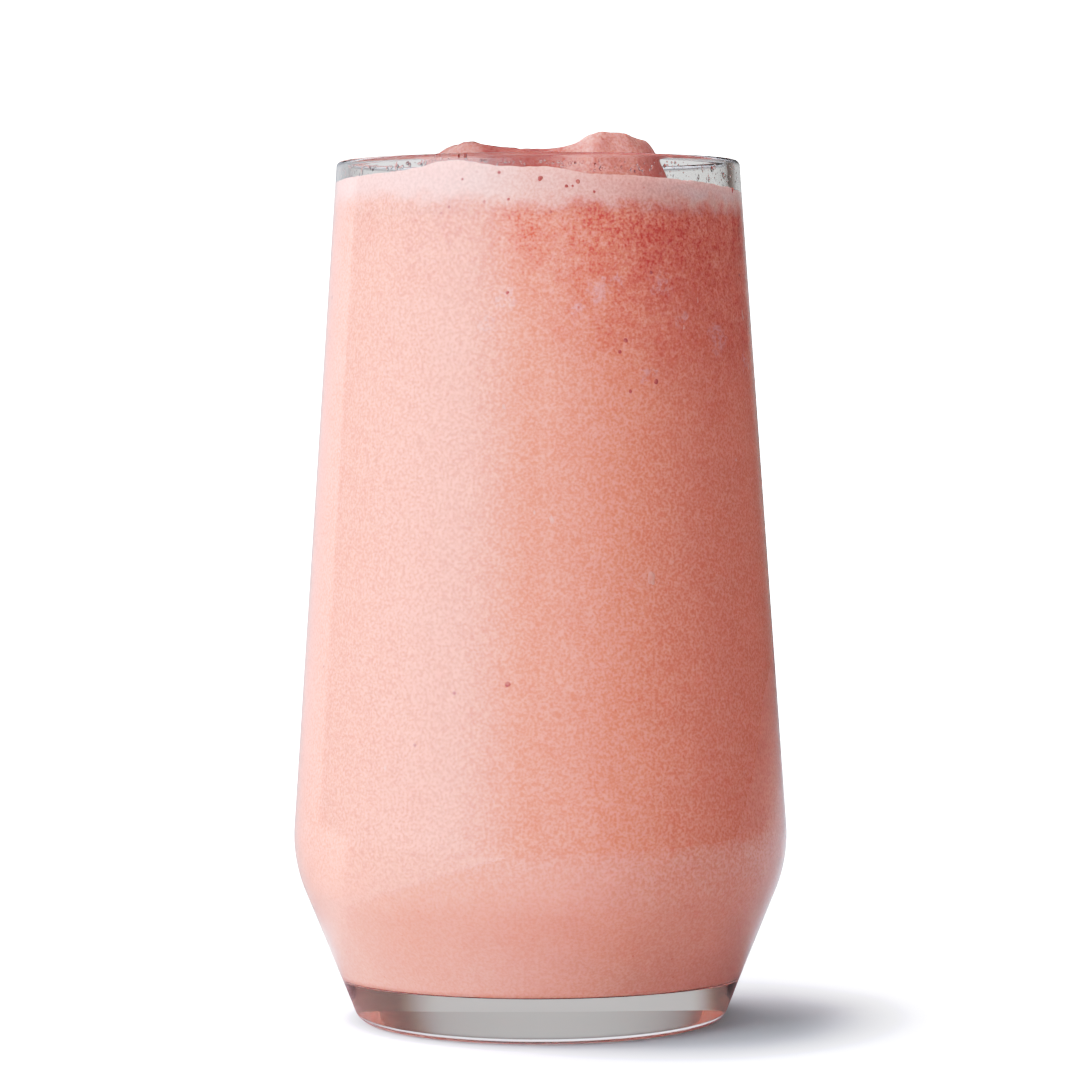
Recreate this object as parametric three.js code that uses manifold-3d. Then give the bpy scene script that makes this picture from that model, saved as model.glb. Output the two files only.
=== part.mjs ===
// A strawberry smoothie in a clear glass tumbler, filled almost to the rim.
// The tumbler is one piece of pressed glass, widest near its foot, with a thick floor. The drink
// fills it. A collar of pale froth lies on the drink round the wall, and icy slush of the same
// drink stands up through the collar in two mounds that rise past the rim.
// Millimetres, +Z up. The origin is on the tumbler's axis, on the surface that it stands on.
// The shown side faces -Y, with +X on its right.
import * as THREE from "three";
import { mergeVertices } from "three/addons/utils/BufferGeometryUtils.js";
import Module from "manifold-3d";

const SEGMENTS = 72;
const ARC_ERROR = 0.05; // how far an arc's straight steps may cut inside it

// Tumbler: outside
const GLASS_HEIGHT = 142.2;
const RIM_RADIUS = 33.3;
const SHOULDER_RADIUS = 41.3; // where the lower and upper cones would meet
const SHOULDER_HEIGHT = 26.8;
const SHOULDER_ROUND = 24;
const FOOT_RADIUS = 30.4; // where the lower cone would meet the table
const FOOT_ROUND = 2.4;
const PUNT_RADIUS = 21; // shallow hollow under the foot
const PUNT_DEPTH = 0.8;

// Tumbler: inside
const RIM_WALL = 2;
const RIM_ROUND = 0.9;
const SHOULDER_WALL = 2.4;
const FLOOR_HEIGHT = 8.3;
const FLOOR_RADIUS = 28.4; // where the inside wall would meet the floor
const FLOOR_ROUND = 1.8;

// Drink: all its pieces keep this gap from the glass and from each other
const GAP = 0.3;
const DRINK_LEVEL = 133; // under the froth
const TOP_RINGS = 18;

// Froth collar: its top leans towards the right and the back, drops on the right, and climbs a
// little at the wall
const FROTH_LEVEL = 137.1;
const FROTH_LEAN_RIGHT = 0.012; // fall for each millimetre
const FROTH_LEAN_BACK = 0.062;
const FROTH_DROP = 0.95;
const FROTH_DROP_START = 1; // from this x to the next
const FROTH_DROP_END = 8.5;
const FROTH_CLIMB = 0.7;
const FROTH_CLIMB_REACH = 2.5;

// Slush crown: a ridge with a low mound on the left and a high one on the right
const CROWN_CENTRE = 0.6;
const CROWN_HALF_LENGTH = 25.1; // to where the flank meets the level under the froth
const CROWN_HALF_DEPTH = 21.5;
const CROWN_SQUARENESS = 2.6;
const CROWN_FLAT_SHARE = 0.68; // of the way out, before the flank falls
const SADDLE_HEIGHT = 143.4;
const MOUNDS = [
  { x: -11, rise: 1.56, halfWidth: 3.3 },
  { x: -4.6, rise: 0.54, halfWidth: 1.4 },
  { x: 8.9, rise: 1.95, halfWidth: 3.5 },
  { x: 14.7, rise: 2.6, halfWidth: 5.3 },
];
const CRAG_WAVES = 6;
const CRAG_HEIGHT = 0.12;
const CRAG_LENGTH = 11; // longest wave
const GOLDEN_ANGLE = Math.PI * (3 - Math.sqrt(5));

const GLASS = new THREE.MeshStandardMaterial({
  color: 0xe6ecea, roughness: 0.04, metalness: 0, transparent: true, opacity: 0.35,
});
const SMOOTHIE = new THREE.MeshStandardMaterial({ color: 0xe39a86, roughness: 0.4, metalness: 0 });
const FROTH = new THREE.MeshStandardMaterial({ color: 0xeccabf, roughness: 0.6, metalness: 0 });

// The points of an outline of [radius, height, round] corners, with an arc at each rounded corner.
function roundedOutline(corners) {
  return corners.flatMap(([radius, height, round], i) => {
    const corner = new THREE.Vector2(radius, height);
    if (!round) return [corner];
    const back = new THREE.Vector2(...corners[i - 1]).sub(corner).normalize();
    const on = new THREE.Vector2(...corners[i + 1]).sub(corner).normalize();
    const half = Math.acos(back.dot(on)) / 2;
    const centre = back.clone().add(on).setLength(round / Math.sin(half)).add(corner);
    const start = back.clone().multiplyScalar(round / Math.tan(half)).add(corner);
    const sweep = Math.sign(on.cross(back)) * (Math.PI - 2 * half);
    const steps = Math.ceil(Math.abs(sweep) / (2 * Math.acos(1 - ARC_ERROR / round)));
    return Array.from({ length: steps + 1 }, (_, k) =>
      start.clone().rotateAround(centre, (sweep * k) / steps));
  });
}

// Corners of the inside of the glass, moved into the hollow by inset.
function insideCorners(inset) {
  return [
    [0, FLOOR_HEIGHT + inset],
    [FLOOR_RADIUS - inset, FLOOR_HEIGHT + inset, FLOOR_ROUND],
    [SHOULDER_RADIUS - SHOULDER_WALL - inset, SHOULDER_HEIGHT, SHOULDER_ROUND],
  ];
}

// Radius of the upper inside wall at a height.
function insideRadius(height) {
  const up = (height - SHOULDER_HEIGHT) / (GLASS_HEIGHT - SHOULDER_HEIGHT);
  return THREE.MathUtils.lerp(SHOULDER_RADIUS - SHOULDER_WALL, RIM_RADIUS - RIM_WALL, up);
}

// A body turned about +Z from an outline that starts and ends on the axis.
function turned(outline) {
  return new THREE.LatheGeometry(outline, SEGMENTS).rotateX(Math.PI / 2);
}

// A turned body whose lid is a relief: rings from the wall to the axis at the height topAt(x, y).
function turnedWithTop(side, topAt) {
  const wall = side.at(-1);
  const rings = Array.from({ length: TOP_RINGS }, (_, k) =>
    new THREE.Vector2(wall.x * (1 - (k + 1) / TOP_RINGS), wall.y));
  const outline = [...side, ...rings];
  const geometry = turned(outline);
  const position = geometry.getAttribute("position");
  for (let i = 0; i < position.count; i++) {
    if (i % outline.length < side.length - 1) continue;
    position.setZ(i, topAt(position.getX(i), position.getY(i)));
  }
  return geometry;
}

// Craggy relief: a sum of waves that shorten one by one, each turned by the golden angle.
function crags(x, y) {
  let height = 0;
  for (let k = 1; k <= CRAG_WAVES; k++) {
    const along = x * Math.cos(k * GOLDEN_ANGLE) + y * Math.sin(k * GOLDEN_ANGLE);
    height += CRAG_HEIGHT * Math.sin((2 * Math.PI * along * Math.sqrt(k)) / CRAG_LENGTH + k * k);
  }
  return height;
}

// Top of the drink: the level under the froth, and the slush crown that stands up from it.
function drinkTop(x, y) {
  const out = Math.hypot(
    Math.abs((x - CROWN_CENTRE) / CROWN_HALF_LENGTH) ** (CROWN_SQUARENESS / 2),
    Math.abs(y / CROWN_HALF_DEPTH) ** (CROWN_SQUARENESS / 2),
  ) ** (2 / CROWN_SQUARENESS);
  const share = 1 - THREE.MathUtils.smoothstep(out, CROWN_FLAT_SHARE, 1);
  const crest = MOUNDS.reduce(
    (height, mound) => height + mound.rise * Math.exp(-(((x - mound.x) / mound.halfWidth) ** 2)),
    SADDLE_HEIGHT,
  );
  return DRINK_LEVEL + share * (crest + crags(x, y) - DRINK_LEVEL);
}

// Top of the froth: a leaning plane that drops on the right and climbs close to the wall.
function frothTop(x, y) {
  const fromWall = insideRadius(FROTH_LEVEL) - Math.hypot(x, y);
  const climb = FROTH_CLIMB * Math.exp(-fromWall / FROTH_CLIMB_REACH);
  const drop = FROTH_DROP * THREE.MathUtils.smoothstep(x, FROTH_DROP_START, FROTH_DROP_END);
  return FROTH_LEVEL - FROTH_LEAN_RIGHT * x - FROTH_LEAN_BACK * y - drop + climb;
}

function tumblerGeometry() {
  return turned(roundedOutline([
    [0, PUNT_DEPTH],
    [PUNT_RADIUS, 0],
    [FOOT_RADIUS, 0, FOOT_ROUND],
    [SHOULDER_RADIUS, SHOULDER_HEIGHT, SHOULDER_ROUND],
    [RIM_RADIUS, GLASS_HEIGHT, RIM_ROUND],
    [RIM_RADIUS - RIM_WALL, GLASS_HEIGHT, RIM_ROUND],
    ...insideCorners(0).reverse(),
  ]));
}

// The drink with its crown. A positive growth gives the larger body that is cut from the froth.
function smoothieGeometry(growth) {
  const side = roundedOutline([
    ...insideCorners(GAP),
    [insideRadius(DRINK_LEVEL) - GAP, DRINK_LEVEL],
  ]);
  side.at(-1).x += growth;
  return turnedWithTop(side, (x, y) => drinkTop(x, y) + growth);
}

// A slab of froth across the tumbler, from just inside the drink to the froth's top.
function frothSlabGeometry() {
  const bottom = DRINK_LEVEL - GAP;
  return turnedWithTop([
    new THREE.Vector2(0, bottom),
    new THREE.Vector2(insideRadius(bottom) - GAP, bottom),
    new THREE.Vector2(insideRadius(FROTH_LEVEL) - GAP, FROTH_LEVEL),
  ], frothTop);
}

const wasm = await Module();
wasm.setup();

// A closed geometry as a solid that can be cut.
function solidOf(geometry) {
  const bare = new THREE.BufferGeometry().setIndex(geometry.index);
  bare.setAttribute("position", geometry.getAttribute("position"));
  const merged = mergeVertices(bare);
  return new wasm.Manifold(new wasm.Mesh({
    numProp: 3,
    vertProperties: merged.getAttribute("position").array,
    triVerts: new Uint32Array(merged.index.array),
  }));
}

// The first geometry less the second.
function cut(geometry, tool) {
  const mesh = solidOf(geometry).subtract(solidOf(tool)).getMesh();
  const left = new THREE.BufferGeometry().setIndex(new THREE.BufferAttribute(mesh.triVerts, 1));
  left.setAttribute("position", new THREE.BufferAttribute(mesh.vertProperties, mesh.numProp));
  left.computeVertexNormals();
  return left;
}

function named(name, geometry, material) {
  const mesh = new THREE.Mesh(geometry, material);
  mesh.name = name;
  return mesh;
}

const drink = new THREE.Group();
drink.add(
  named("tumbler", tumblerGeometry(), GLASS),
  named("smoothie", smoothieGeometry(0), SMOOTHIE),
  named("froth", cut(frothSlabGeometry(), smoothieGeometry(2 * GAP)), FROTH),
);

export default drink;
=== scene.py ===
"""A strawberry smoothie in a clear tumbler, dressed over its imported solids.

Metres, +Z up. The origin is on the tumbler's axis, on the surface that it stands on, and the
shown side faces -Y.
"""

from math import pi

import bpy
import numpy as np
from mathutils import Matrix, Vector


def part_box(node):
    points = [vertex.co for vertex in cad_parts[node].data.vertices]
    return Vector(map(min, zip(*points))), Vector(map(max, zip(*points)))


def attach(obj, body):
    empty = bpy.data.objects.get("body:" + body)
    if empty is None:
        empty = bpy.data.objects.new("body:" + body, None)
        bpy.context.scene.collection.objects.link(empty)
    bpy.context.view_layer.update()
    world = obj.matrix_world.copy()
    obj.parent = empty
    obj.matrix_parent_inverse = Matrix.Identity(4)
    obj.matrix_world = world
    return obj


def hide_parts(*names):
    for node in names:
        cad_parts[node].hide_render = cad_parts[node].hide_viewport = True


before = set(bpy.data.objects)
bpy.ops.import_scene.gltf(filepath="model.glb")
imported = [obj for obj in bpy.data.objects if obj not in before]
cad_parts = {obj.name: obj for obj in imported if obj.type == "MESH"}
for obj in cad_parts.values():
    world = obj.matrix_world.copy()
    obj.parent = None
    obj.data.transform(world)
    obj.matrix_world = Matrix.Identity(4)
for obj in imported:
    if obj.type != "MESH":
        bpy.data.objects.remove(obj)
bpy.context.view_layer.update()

# Camera
# A long lens stands about 70 cm away, a little below the rim and tipped down, so that the rim
# bows upwards and the foot bows downwards.
CAMERA_DISTANCE = 0.706
CAMERA_HEIGHT = 0.1101
CAMERA_SIDE = 0.0002
CAMERA_TIP = 0.0433
CAMERA_ROLL = 0.0035
LENS_MM = 141.9

camera = bpy.data.objects.new("camera", bpy.data.cameras.new("camera"))
camera.data.lens = LENS_MM
camera.location = (CAMERA_SIDE, -CAMERA_DISTANCE, CAMERA_HEIGHT)
camera.rotation_euler = (pi / 2 - CAMERA_TIP, CAMERA_ROLL, 0)
bpy.context.scene.collection.objects.link(camera)
bpy.context.scene.camera = camera

# Tumbler
# One piece of clear pressed glass: two cones that meet in a round shoulder near the foot, a thick
# floor, and a fire-polished rim. It is turned here from one outline with true arcs.
GLASS_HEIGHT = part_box("tumbler")[1].z
RIM_RADIUS = 0.0333
SHOULDER_RADIUS = 0.0413
SHOULDER_HEIGHT = 0.0268
SHOULDER_ROUND = 0.024
FOOT_RADIUS = 0.0304
FOOT_ROUND = 0.0024
PUNT_RADIUS = 0.021
PUNT_DEPTH = 0.0008
PUNT_ROUND = 0.004
RIM_WALL = 0.002
RIM_ROUND = 0.0009
SHOULDER_WALL = 0.0024
FLOOR_HEIGHT = 0.0083
FLOOR_RADIUS = 0.0284
FLOOR_ROUND = 0.0018
ARC_POINTS = 14
ARC_LEAD = 0.0003
GLASS_TURNS = 192
SHARP_TURN = 0.9
GLASS_TINT = (0.985, 0.995, 0.99, 1)
GLASS_SHADE = (0.92, 0.92, 0.92, 1)
GLASS_IOR = 1.51
GLASS_WAVES = 45
GLASS_WAVE_STRENGTH = 0.03
GLASS_WAVE_HEIGHT = 0.001


def rounded_outline(corners):
    """(radius, height) points of an outline of (radius, height, round) corners.

    A rounded corner becomes an arc that touches both its sides: the spoke from the arc's centre
    swings evenly from one side to the other. A point a short lead before and after each arc keeps
    the straight sides straight in the shading. The first and last corners stay as they are.
    """
    corners = np.array(corners, float)
    places, rounds = corners[:, :2], corners[:, 2]
    points = [places[:1]]
    for before, here, after, rounding in zip(places, places[1:], places[2:], rounds[1:]):
        back = (before - here) / np.linalg.norm(before - here)
        on = (after - here) / np.linalg.norm(after - here)
        half = np.arccos(back @ on) / 2
        start, end = here + back * rounding / np.tan(half), here + on * rounding / np.tan(half)
        centre = here + (back + on) / np.linalg.norm(back + on) * rounding / np.sin(half)
        swing, share = pi - 2 * half, np.linspace(0, 1, ARC_POINTS)[:, None]
        spokes = (
            np.sin((1 - share) * swing) * (start - centre) + np.sin(share * swing) * (end - centre)
        )
        points += [[start + back * ARC_LEAD], centre + spokes / np.sin(swing), [end + on * ARC_LEAD]]
    return np.concatenate(points + [places[-1:]])


def inside_corners(inset):
    """Corners of the inside of the glass from the axis to the shoulder, moved inwards by inset."""
    return [
        (0, FLOOR_HEIGHT + inset, 0),
        (FLOOR_RADIUS - inset, FLOOR_HEIGHT + inset, FLOOR_ROUND),
        (SHOULDER_RADIUS - SHOULDER_WALL - inset, SHOULDER_HEIGHT, SHOULDER_ROUND),
    ]


def inside_radius(height):
    """Radius of the upper inside wall: a straight line from the shoulder to the rim."""
    up = (height - SHOULDER_HEIGHT) / (GLASS_HEIGHT - SHOULDER_HEIGHT)
    return (SHOULDER_RADIUS - SHOULDER_WALL) * (1 - up) + (RIM_RADIUS - RIM_WALL) * up


def turned(outline, turns):
    """Grid of points of an outline carried round the axis: station along the outline by turn."""
    angle = np.arange(turns) * 2 * pi / turns
    radius, height = outline[:, :1], outline[:, 1:]
    return np.stack(
        [radius * np.cos(angle), radius * np.sin(angle), height + 0 * angle], axis=-1
    )


def closed_net(stations, turns, ends_on_axis):
    """Faces over a grid of points that closes on itself round its turns: walls and caps.

    A wall takes a step round, a step along, and goes back. The first and last stations are one
    point each where the grid ends on its axis, with caps of triangles, and join each other where
    it doesn't.
    """
    if ends_on_axis:
        at = 1 + np.arange((stations - 2) * turns).reshape(-1, turns)
        low, high = at[:-1], at[1:]
        first, last = np.zeros_like(at[0]), np.full_like(at[0], at[-1, -1] + 1)
        caps = np.concatenate([
            np.stack([first, np.roll(at[0], -1), at[0]], axis=-1),
            np.stack([last, at[-1], np.roll(at[-1], -1)], axis=-1),
        ])
    else:
        at = np.arange(stations * turns).reshape(stations, turns)
        low, high, caps = at, np.roll(at, -1, axis=0), np.zeros((0, 3), int)
    walls = np.stack([low, np.roll(low, -1, axis=1), np.roll(high, -1, axis=1), high], axis=-1)
    return walls.reshape(-1, 4), caps


def smooth_piece(name, points, faces):
    """A smooth piece of points and faces, with a crease at every sharp turn."""
    mesh = bpy.data.meshes.new(name)
    mesh.from_pydata(points.tolist(), [], faces)
    mesh.polygons.foreach_set("use_smooth", np.ones(len(mesh.polygons), bool))
    mesh.set_sharp_from_angle(angle=SHARP_TURN)
    piece = bpy.data.objects.new(name, mesh)
    bpy.context.scene.collection.objects.link(piece)
    return piece


def closed_piece(name, grid, ends_on_axis):
    """A smooth closed piece over a grid of points: station by turn."""
    walls, caps = closed_net(*grid.shape[:2], ends_on_axis)
    points = grid.reshape(-1, 3)
    if ends_on_axis:
        points = np.concatenate([grid[0, :1], grid[1:-1].reshape(-1, 3), grid[-1, :1]])
    return smooth_piece(name, points, walls.tolist() + caps.tolist())


def add(tree, kind, inputs=None, **settings):
    """A shader node with its settings, each input given a value or linked to another's output."""
    node = tree.nodes.new("ShaderNode" + kind)
    for name, value in settings.items():
        setattr(node, name, value)
    for name, value in (inputs or {}).items():
        if isinstance(value, bpy.types.NodeSocket):
            tree.links.new(value, node.inputs[name])
        else:
            node.inputs[name].default_value = value
    return node


def noise(tree, place, scale, detail, roughness=0.5, output="Fac"):
    """Cloudy noise round a half, with scale clouds along each unit of place."""
    return add(tree, "TexNoise", {
        "Vector": place, "Scale": scale, "Detail": detail, "Roughness": roughness,
    }).outputs[output]


def new_material(name):
    """A material with an empty node tree and its output node."""
    material = bpy.data.materials.new(name)
    material.use_nodes = True
    material.node_tree.nodes.clear()
    return material, material.node_tree, add(material.node_tree, "OutputMaterial")


def clear_glass():
    """Clear glass with the faint waviness of pressing. Lamps shine through it onto the drink."""
    material, tree, output = new_material("clear_glass")
    place = add(tree, "TexCoord").outputs["Object"]
    bump = add(tree, "Bump", {
        "Height": noise(tree, place, GLASS_WAVES, detail=1),
        "Strength": GLASS_WAVE_STRENGTH, "Distance": GLASS_WAVE_HEIGHT,
    })
    glass = add(tree, "BsdfPrincipled", {
        "Base Color": GLASS_TINT, "Roughness": 0, "IOR": GLASS_IOR, "Transmission Weight": 1,
        "Normal": bump.outputs["Normal"],
    })
    clear = add(tree, "BsdfTransparent", {"Color": GLASS_SHADE})
    lamps = add(tree, "LightPath").outputs["Is Shadow Ray"]
    mix = add(tree, "MixShader", {0: lamps, 1: glass.outputs[0], 2: clear.outputs[0]})
    tree.links.new(mix.outputs[0], output.inputs["Surface"])
    return material


tumbler = closed_piece("tumbler_glass", turned(rounded_outline([
    (0, PUNT_DEPTH, 0),
    (PUNT_RADIUS, 0, PUNT_ROUND),
    (FOOT_RADIUS, 0, FOOT_ROUND),
    (SHOULDER_RADIUS, SHOULDER_HEIGHT, SHOULDER_ROUND),
    (RIM_RADIUS, GLASS_HEIGHT, RIM_ROUND),
    (RIM_RADIUS - RIM_WALL, GLASS_HEIGHT, RIM_ROUND),
    *inside_corners(0)[::-1],
]), GLASS_TURNS), ends_on_axis=True)
tumbler.data.materials.append(clear_glass())
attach(tumbler, "root")
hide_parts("tumbler")

# Smoothie
# Strawberries, ice and milk blended thick. It wets the glass all over, so it reaches a hair into
# the wall. Above it the icy part stands up as a craggy crown with a low and a high mound.
WALL_REACH = 0.00015
DRINK_LEVEL = 0.133
DRINK_TURNS = 384
CROWN_RINGS = 110
CROWN_CENTRE = 0.0006
CROWN_HALF_LENGTH = 0.0251
CROWN_HALF_DEPTH = 0.0215
CROWN_SQUARENESS = 2.6
CROWN_FLAT_SHARE = 0.68
SADDLE_HEIGHT = 0.1434
MOUNDS = [
    (-0.0110, 0.00156, 0.0033), (-0.0046, 0.00054, 0.0014), (0.0089, 0.00195, 0.0035),
    (0.0147, 0.0026, 0.0053),
]
CRAG_WAVES = 6
CRAG_HEIGHT = 0.00012
CRAG_LENGTH = 0.011
GOLDEN_ANGLE = pi * (3 - 5 ** 0.5)
# Lumps of slush, each (size, height)
SLUSH_LUMPS = [(0.0058, 0.00012), (0.0023, 0.00012), (0.0008, 0.00004)]
SLUSH_STARTS = (0, 0.4)
LUMP_CELLS = 32
PINK = (0.88, 0.34, 0.252, 1)
RED = (0.64, 0.135, 0.10, 1)
PALE = (0.82, 0.42, 0.385, 1)
FROTH_PINK = (0.89, 0.48, 0.41, 1)
FROTH_THIN = (0.88, 0.70, 0.66, 1)
WET_RED_AND_SHADE = (0.40, 0.055, 0.045, 1)
DRINK_IOR = 1.36
DRINK_IN_GLASS_IOR = 0.9
GLOW_SHARE = 0.4
GLOW_REACH = 0.003
GLOW_COLOURS = (1, 0.35, 0.25)
GRAIN_HEIGHT = 0.0003
# The colours' layout is in millimetres, as scaled by the next value. A noise is (scale,
# detail, roughness), a band (from, to, amount at to, amount at from), and dots are (scale, size,
# share of the cells that have one).
MM_PER_METRE = 1000
CLOUDS = (0.06, 2)
SWIRLS = (0.21, 3, 0.55)
CLUMPS = (0.85, 4, 0.62)
GRIT = (1.7, 3, 0.7)
GRAIN = (2.3, 2)
PULP_WANDERS = 34
PULP_LEANS = 0.5
PULP_RISES = (126, 167, 0.92, 0.12)
PULP_CLUMPS = (0.36, 0.66, 0.55, 0.1)
PULP_SWIRLS = (0.32, 0.7, 0.5)
PULP_GRIT = (0.44, 0.62, 0.5)
FOAM_PATCHES = [
    (36, 121.6, 2.3), (17, 120.2, 2.2), (22, 122, 1.3), (57, 112.6, 2.6), (73, 109, 1.6),
    (11, 117.5, 1), (30, 107, 1.2), (42, 115.5, 1.3), (-9, 119.2, 2), (-14, 115.3, 1.6),
    (105, 120, 2.4), (150, 112, 3), (-170, 121, 2.2), (-128, 117, 2.6), (-85, 108, 1.8),
]
FOAM_DRIFT = (0.45, 4, 0.7)
FOAM_DRIFTS = 7
FOAM_EDGE = (1.2, 0.6)
FOAM_AMOUNT = 0.5
FOAM_TEARS = (1.1, 3, 0.65)
FOAM_TORN = (0.40, 0.56)
DOT_CORE = 0.4
DOT_PICK_SOFTNESS = 0.15
PINHOLES = (0.8, 0.28, 0.5)
PINHOLES_AMOUNT = 1.5
# Painted light: the drink pales towards the bottom, as if lit through the glass foot
FOOT_WANDERS = 12
FOOT_PAINTED_LIGHT = (32, 14, 0.35)
FROTH_EDGE = (0.3, 2)
FROTH_EDGE_WANDERS = 5
FROTH_EDGE_CLUMPS = 2.4
FROTH_EDGE_LEANS = 0.04
FROTH_STARTS = (136.4, 139.9, 0.92)
FROTH_THINS_RIGHT = (14, 26)
FROTH_THINS_ABOVE = (138.5, 141.5, 0.65)
# Dark wet juice with painted shade: darker red in the crown's saddle, at its right foot and lower down
WET_WANDERS = 9
WET_SADDLE_MIDDLE = 2
WET_SADDLE = (8, 4.5)
WET_RIGHT_FOOT = (16, 20)
WET_SHADE_BELOW = (152.5, 148.5, 0.55)
# Painted light and shade: the crown darker on its left and lighter on its right
CROWN_PAINTED_LIGHT = (-12, 16, 0.38, -0.36)
RED_SPECKS = (0.85, 0.2, 0.16)
RED_SPECKS_AMOUNT = 0.45
PALE_SPECKS = (1.25, 0.26, 0.22)
PALE_SPECKS_AMOUNT = 0.25
GRAIN_LIGHTENS = (0.3, 0.7, 0.17)
GRAIN_SHOWS = (18, 34, 1, 0.5)
GRAIN_DARKEST = (18, 34, 0.911, 0.9535)
GRAIN_SATURATION = -0.8
SATURATION = 1.08


def smooth_step(value, low, high):
    """0 below low, 1 above high, and the curve 3t^2 - 2t^3 between them."""
    share = np.clip((value - low) / (high - low), 0, 1)
    return share * share * (3 - 2 * share)


def crags(x, y):
    """Craggy relief: a sum of waves that shorten one by one, each turned by the golden angle."""
    wave = np.arange(1, CRAG_WAVES + 1)[:, None, None]
    along = x * np.cos(wave * GOLDEN_ANGLE) + y * np.sin(wave * GOLDEN_ANGLE)
    return CRAG_HEIGHT * np.sin(2 * pi * along * np.sqrt(wave) / CRAG_LENGTH + wave ** 2).sum(0)


def crown_share(x, y):
    """1 on top of the crown and 0 beyond its foot, along a rounded rectangle's distance."""
    out = (
        np.abs((x - CROWN_CENTRE) / CROWN_HALF_LENGTH) ** CROWN_SQUARENESS
        + np.abs(y / CROWN_HALF_DEPTH) ** CROWN_SQUARENESS
    ) ** (1 / CROWN_SQUARENESS)
    return 1 - smooth_step(out, CROWN_FLAT_SHARE, 1)


def drink_top(x, y):
    """The level under the froth, plus the crown: a saddle, its mounds and crags.

    A mound is (middle, rise, half width), and rises as a bell curve along x.
    """
    crest = SADDLE_HEIGHT + sum(
        rise * np.exp(-((x - middle) / half_width) ** 2) for middle, rise, half_width in MOUNDS
    )
    return DRINK_LEVEL + crown_share(x, y) * (crest + crags(x, y) - DRINK_LEVEL)


def lumps(points, size, seed):
    """Smooth lumps from -1 to 1 that fill space.

    A seeded draw gives a value to each corner of a grid of cubes. A point takes its eight corners'
    values, each by the product of its three shares 3t^2 - 2t^3 across the cube.
    """
    draw = np.random.default_rng(seed).uniform(-1, 1, (LUMP_CELLS, LUMP_CELLS, LUMP_CELLS))
    cell = np.floor(points / size).astype(int)
    across = smooth_step(points / size - cell, 0, 1)
    total = np.zeros(points.shape[:-1])
    for corner in np.ndindex(2, 2, 2):
        weight = np.where(np.array(corner, bool), across, 1 - across).prod(axis=-1)
        total += weight * draw[tuple(np.moveaxis((cell + corner) % LUMP_CELLS, -1, 0))]
    return total


def outward(grid):
    """Unit normals of a grid: the cross product of its steps round and along."""
    round_step = np.roll(grid, -1, axis=1) - np.roll(grid, 1, axis=1)
    normal = np.cross(round_step, np.gradient(grid, axis=0))
    return normal / np.maximum(np.linalg.norm(normal, axis=-1, keepdims=True), 1e-12)


def blend(tree, share, first, second):
    """Colour that goes from first to second as share goes from 0 to 1."""
    return add(tree, "Mix", {0: share, 6: first, 7: second}, data_type="RGBA").outputs[2]


def band(tree, value, low, high, at_high=1, at_low=0):
    """Mask that goes smoothly from at_low, where value is low, to at_high, where it is high."""
    return add(tree, "MapRange", {
        "Value": value, "From Min": low, "From Max": high, "To Min": at_low, "To Max": at_high,
    }, interpolation_type="SMOOTHSTEP").outputs[0]


def both(tree, first, second, operation="MULTIPLY"):
    """Two values joined by arithmetic."""
    return add(tree, "Math", {0: first, 1: second}, operation=operation).outputs[0]


def shifted(tree, value, by, amount):
    """Value plus amount times by."""
    return both(tree, value, both(tree, by, amount), "ADD")


def dots(tree, place, scale, size, kept):
    """Mask of soft round dots: one at the seat of each cell that its random colour keeps.

    A dot is full within its core, a share of its size, and fades out at its size.
    """
    cells = add(tree, "TexVoronoi", {"Vector": place, "Scale": scale}, feature="F1")
    pick = add(tree, "SeparateColor", {0: cells.outputs["Color"]}).outputs[0]
    near = band(tree, cells.outputs["Distance"], size, DOT_CORE * size)
    return both(tree, near, band(tree, pick, 1 - kept, 1 - kept + DOT_PICK_SOFTNESS))


def foam_mask(tree, place):
    """Patches of foam against the glass, each (bearing, height, radius), with torn edges.

    A patch fades with the distance from its middle, and a noise drifts every place before that
    distance is taken. A second noise tears holes in them all.
    """
    drift = add(tree, "VectorMath", {
        0: noise(tree, place, *FOAM_DRIFT, output="Color"), "Scale": FOAM_DRIFTS,
    }, operation="SCALE")
    drifted = add(tree, "VectorMath", {0: place, 1: drift.outputs[0]}).outputs[0]
    mask = 0.0
    for bearing, height, radius in FOAM_PATCHES:
        turn, wall = np.radians(bearing), MM_PER_METRE * inside_radius(height / MM_PER_METRE)
        middle = np.array([wall * np.sin(turn), -wall * np.cos(turn), height]) + FOAM_DRIFTS / 2
        apart = add(tree, "VectorMath", {0: drifted, 1: middle}, operation="DISTANCE")
        ends = [share * radius for share in FOAM_EDGE]
        mask = both(tree, band(tree, apart.outputs["Value"], *ends, FOAM_AMOUNT), mask, "MAXIMUM")
    return both(tree, mask, band(tree, noise(tree, place, *FOAM_TEARS), *FOAM_TORN))


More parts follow.
